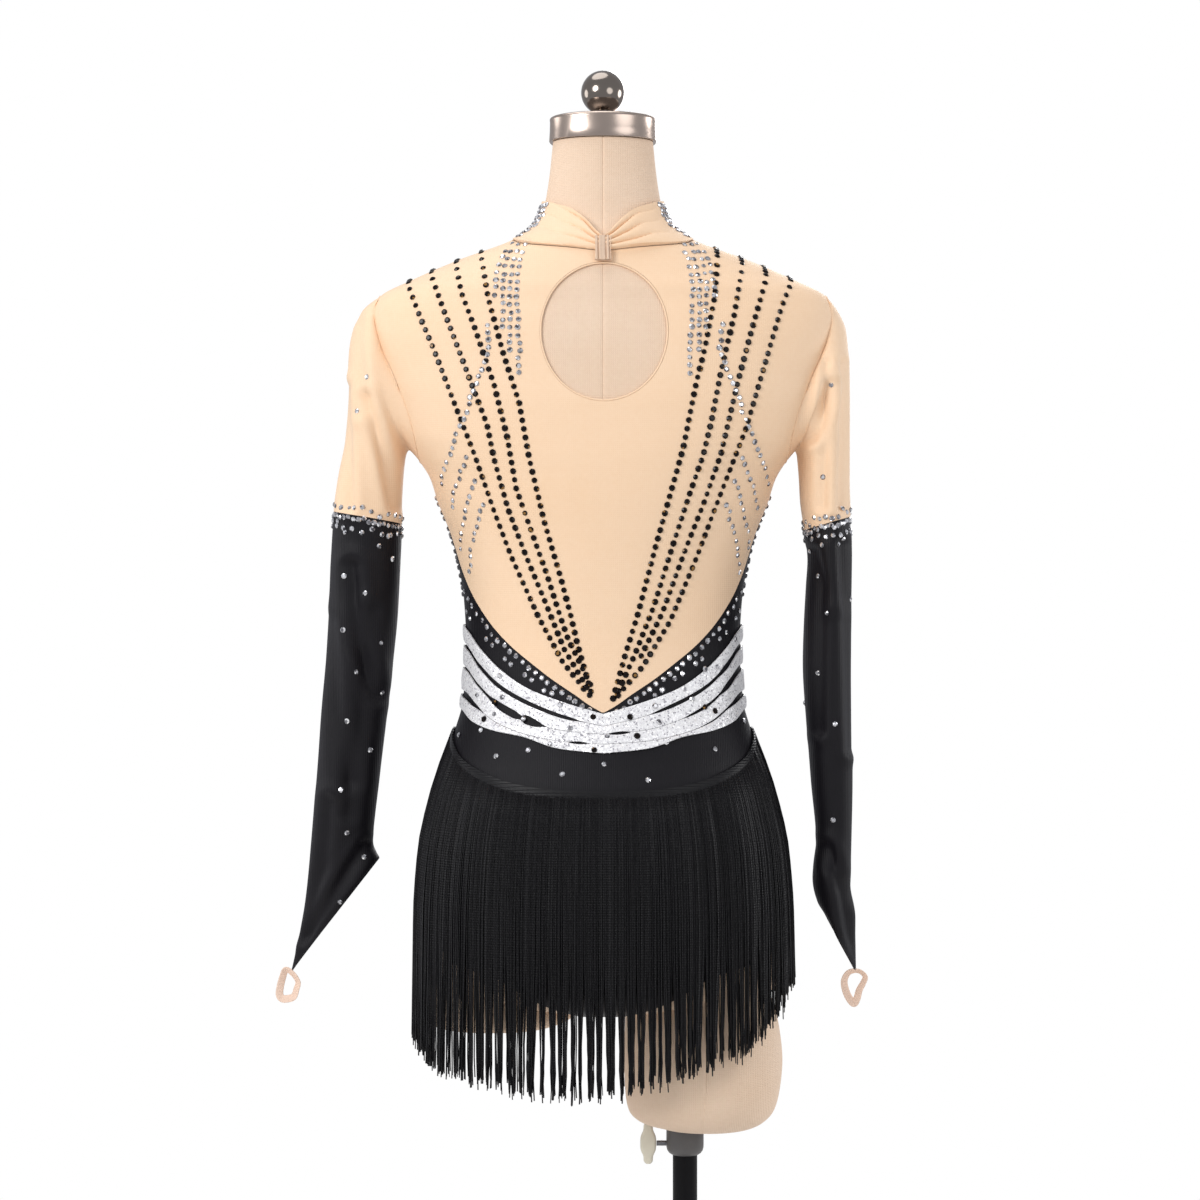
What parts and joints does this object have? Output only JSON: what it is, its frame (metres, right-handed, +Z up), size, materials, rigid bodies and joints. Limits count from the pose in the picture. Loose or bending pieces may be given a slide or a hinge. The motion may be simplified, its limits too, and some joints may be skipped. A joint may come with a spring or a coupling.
{
  "type": "figure skating dress on a dress form stand",
  "caption": "Long-sleeved figure skating dress with keyhole back, strapped waist and fringe skirt, worn by a limbless dress form on a pole stand with a round base.",
  "frame": {"origin": "centre of the underside of the stand's round base, on the axis of the pole", "axes": "+Z up along the pole; -Y is the back of the dress; +X is the wearer's right"},
  "size_m": [0.5403, 0.34, 1.6],
  "materials": {
    "linen": "matte linen cover",
    "nude_mesh": "skin-toned stretch mesh",
    "black_stretch": "black stretch jersey",
    "glitter_strap": "white glitter cloth",
    "black_fringe": "soft black chainette",
    "satin": "glossy satin",
    "elastic": "skin-toned elastic",
    "chrome": "polished",
    "dark_chrome": "polished dark",
    "grey_plastic": "moulded",
    "ivory_plastic": "moulded",
    "black_paint": "semi-gloss black",
    "steel": "plain"
  },
  "bodies": {
    "stand": {"stand_base": "black_paint", "stand_pole": "black_paint"},
    "figure": {"dress_form": "linen", "neck_cap": "dark_chrome", "ball_finial": "chrome", "mesh_back": "nude_mesh", "mesh_front": "nude_mesh", "leotard_back": "black_stretch", "leotard_front": "black_stretch", "collar": "nude_mesh", "collar_gathering_band": "satin", "keyhole_binding": "nude_mesh", "waist_strap_1": "glitter_strap", "waist_strap_2": "glitter_strap", "waist_strap_3": "glitter_strap", "waist_strap_4": "glitter_strap", "fringe_skirt": "black_fringe", "upper_sleeve_left": "nude_mesh", "upper_sleeve_right": "nude_mesh", "lower_sleeve_left": "black_stretch", "lower_sleeve_right": "black_stretch", "finger_loop_left": "elastic", "finger_loop_right": "elastic", "pole_collar": "grey_plastic"},
    "clamp": {"clamp_lever": "ivory_plastic", "clamp_screw": "steel"}
  },
  "joints": [
    {"name": "height_slide", "type": "slide", "parent": "stand", "child": "figure", "axis": [0, 0, 1], "range_m": [-0.1, 0.1]},
    {"name": "clamp_turn", "type": "hinge", "parent": "figure", "child": "clamp", "pos_m": [-0.0331, 0, 0.6325], "axis": [1, 0, 0], "range_deg": [-90, 90]}
  ]
}
